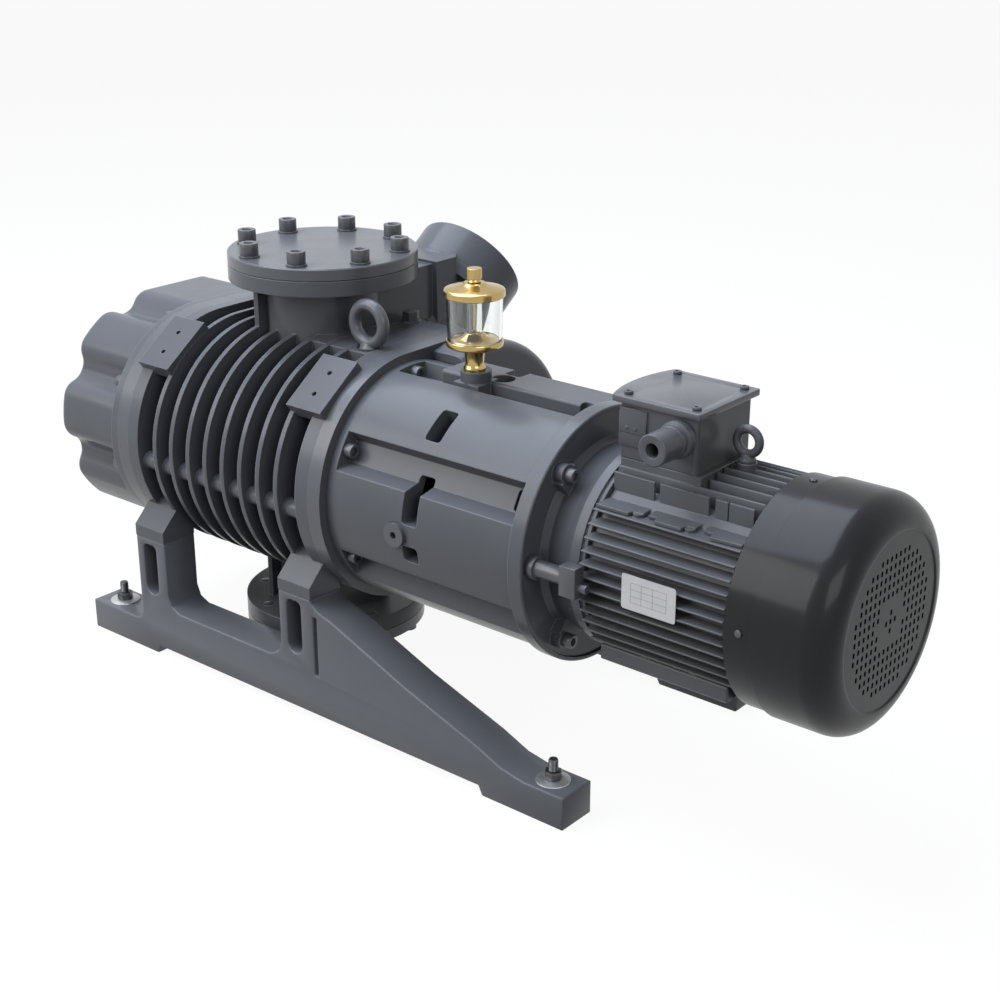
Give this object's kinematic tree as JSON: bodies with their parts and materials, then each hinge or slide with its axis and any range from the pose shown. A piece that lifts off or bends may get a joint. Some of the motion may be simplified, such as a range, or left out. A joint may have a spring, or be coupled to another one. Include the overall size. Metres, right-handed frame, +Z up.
{
  "type": "roots vacuum pump",
  "caption": "Roots vacuum pump: ribbed two-rotor casing with covered top inlet, lobed gear cover, coupling housing, drip oiler, finned motor and support rails.",
  "frame": {"origin": "centre of the bounding box at floor level, under the support rails", "axes": "+X along the shafts towards the motor fan, +Y towards the overflow valve side, +Z up through the inlet"},
  "size_m": [1.2044, 0.557, 0.5875],
  "materials": {
    "cast_paint": "semi-gloss",
    "frame_paint": "semi-gloss",
    "cowl_paint": "semi-gloss",
    "steel": "satin",
    "washer_steel": "satin",
    "iron": "machined",
    "motor_core": "satin",
    "rubber": "matt",
    "plastic": "satin",
    "brass": "polished",
    "glass": "clear",
    "plate": "satin"
  },
  "bodies": {
    "pump": {"rotor_casing": "cast_paint", "gear_end_plate": "cast_paint", "drive_end_plate": "cast_paint", "gear_cover": "cast_paint", "inlet_cover": "cast_paint", "outlet_counter_flange": "cast_paint", "valve_cover": "cast_paint", "idle_bearing_cover": "cast_paint", "adapter_housing": "cast_paint", "motor_front_shield": "cast_paint", "motor_rear_shield": "cast_paint", "terminal_box": "cast_paint", "terminal_box_lid": "cast_paint", "lifting_eye": "cast_paint", "motor_eye_bolt": "cast_paint", "support_bolt": "cast_paint", "front_rail": "cast_paint", "rear_rail": "cast_paint", "inlet_screws": "cast_paint", "outlet_screws": "cast_paint", "motor_frame": "frame_paint", "fan_cowl": "cowl_paint", "cowl_grille": "cowl_paint", "gear_cover_screws": "steel", "drive_end_screws": "steel", "valve_cover_screws": "steel", "motor_flange_screws": "steel", "rail_screws": "steel", "cowl_screws": "steel", "lid_screws": "steel", "anchor_studs": "steel", "rotor_bearings": "steel", "motor_bearings": "steel", "valve_seat": "steel", "inspection_plug": "steel", "oil_plugs": "steel", "anchor_washers": "washer_steel", "shaft_seal": "iron", "stator": "motor_core", "port_gaskets": "rubber", "terminal_board": "plastic", "cable_gland": "plastic", "oiler_base": "brass", "oiler_cap": "brass", "oiler_glass": "glass", "oil_sight_glass": "glass", "rating_plate": "plate"},
    "drive_line": {"drive_rotor": "iron", "drive_timing_gear": "iron", "oil_slinger": "steel", "pump_coupling_hub": "iron", "coupling_spider": "rubber", "motor_coupling_hub": "iron", "motor_rotor": "motor_core", "cooling_fan": "plastic"},
    "idle_line": {"idle_rotor": "iron", "idle_timing_gear": "iron"},
    "overflow_disc": {"valve_disc": "steel"},
    "oiler_needle": {"oiler_knob": "brass"}
  },
  "joints": [
    {"name": "drive_spin", "type": "hinge", "parent": "pump", "child": "drive_line", "pos_m": [-0.27325, -0.11749, 0.3], "axis": [1, 0, 0], "continuous": true},
    {"name": "idle_spin", "type": "hinge", "parent": "pump", "child": "idle_line", "pos_m": [-0.27325, -0.01749, 0.3], "axis": [1, 0, 0], "continuous": true},
    {"name": "overflow_lift", "type": "slide", "parent": "pump", "child": "overflow_disc", "axis": [0, 0.8028, 0.5962], "range_m": [0, 0.025]},
    {"name": "needle_turn", "type": "hinge", "parent": "pump", "child": "oiler_needle", "pos_m": [0.03175, -0.11749, 0.57], "axis": [0, 0, 1], "range_deg": [0, 330]}
  ],
  "couplings": [
    {"joint": "idle_spin", "follows": "drive_spin", "ratio": -1}
  ]
}
